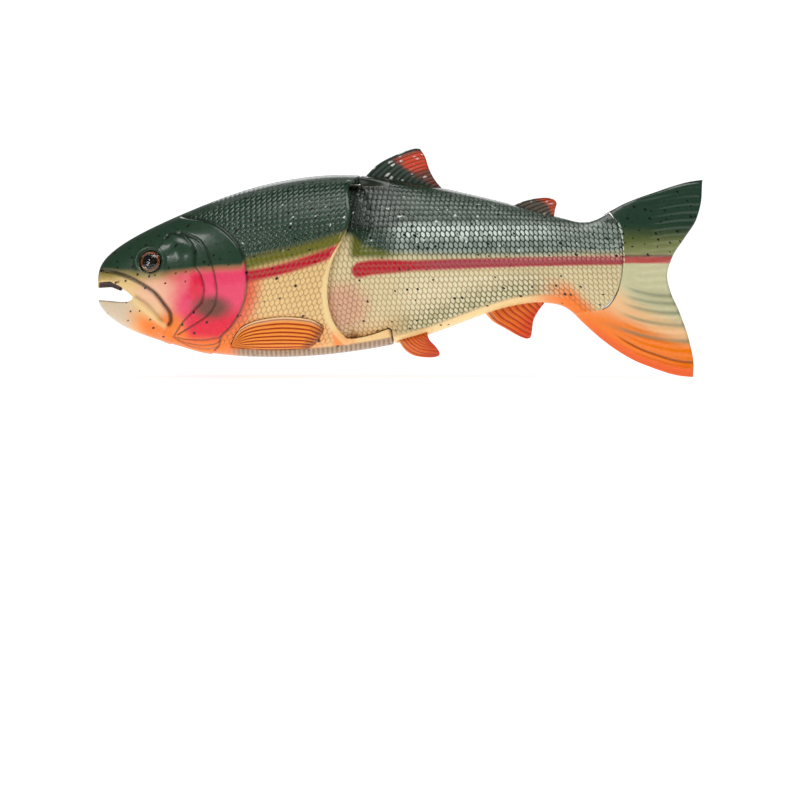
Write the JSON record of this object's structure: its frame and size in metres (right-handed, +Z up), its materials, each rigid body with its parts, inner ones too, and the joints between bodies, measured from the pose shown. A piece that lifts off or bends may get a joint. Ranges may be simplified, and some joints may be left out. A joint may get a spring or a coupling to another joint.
{
  "type": "swimbait",
  "caption": "Jointed trout-shaped fishing lure: hollow head section, hollow rear section swinging on an upright pin, soft bending tail, fins and a line tube.",
  "frame": {"origin": "The centre of the line tube's front mouth, in the fish's mouth, on the mid-plane.", "axes": "+X runs from the nose to the tail, +Y is the fish's right side, +Z is up towards the back fin."},
  "size_m": [0.2538, 0.039, 0.0961],
  "materials": {
    "abs_painted": "glossy clear-coated airbrush paint over moulded hard plastic, trout pattern",
    "brass_tube": "drawn brass tube",
    "ballast_steel": "plain zinc-grey steel slug",
    "pin_steel": "ground stainless steel pin",
    "bush_brass": "turned brass bush",
    "eye_iris": "painted bronze iris with a cream lower edge",
    "eye_pupil": "black pupil",
    "eye_lens": "clear domed lens",
    "fin_paint": "glossy orange paint with yellow rays",
    "fin_soft": "orange soft plastic with darker rays",
    "fin_dark": "dark green soft plastic with an orange tip",
    "tail_soft": "soft plastic painted green, cream and orange"
  },
  "bodies": {
    "front_section": {"front_shell_left": "abs_painted", "front_shell_right": "abs_painted", "line_tube": "brass_tube", "ballast_front": "ballast_steel", "hinge_pin": "pin_steel", "pectoral_fin_left": "fin_paint", "pectoral_fin_right": "fin_paint", "eye_iris_left": "eye_iris", "eye_iris_right": "eye_iris", "eye_pupil_left": "eye_pupil", "eye_pupil_right": "eye_pupil", "eye_lens_left": "eye_lens", "eye_lens_right": "eye_lens"},
    "rear_section": {"rear_shell_left": "abs_painted", "pelvic_fin_left": "fin_soft", "rear_shell_right": "abs_painted", "pelvic_fin_right": "fin_soft", "ballast_rear": "ballast_steel", "hinge_bush_lower": "bush_brass", "hinge_bush_upper": "bush_brass", "dorsal_fin": "fin_dark", "adipose_fin": "fin_dark", "anal_fin": "fin_soft", "tail_root": "tail_soft", "tail_pin_lower": "pin_steel", "tail_pin_upper": "pin_steel"},
    "tail": {"tail_blade": "tail_soft"}
  },
  "joints": [
    {"name": "body_joint", "type": "hinge", "parent": "front_section", "child": "rear_section", "pos_m": [0.084, 0, 0], "axis": [0, 0, 1], "range_deg": [-30, 30]},
    {"name": "tail_bend", "type": "hinge", "parent": "rear_section", "child": "tail", "pos_m": [0.21, 0, 0], "axis": [0, 0, 1], "range_deg": [-25, 25], "stiffness_Nm_per_rad": 0.02}
  ]
}
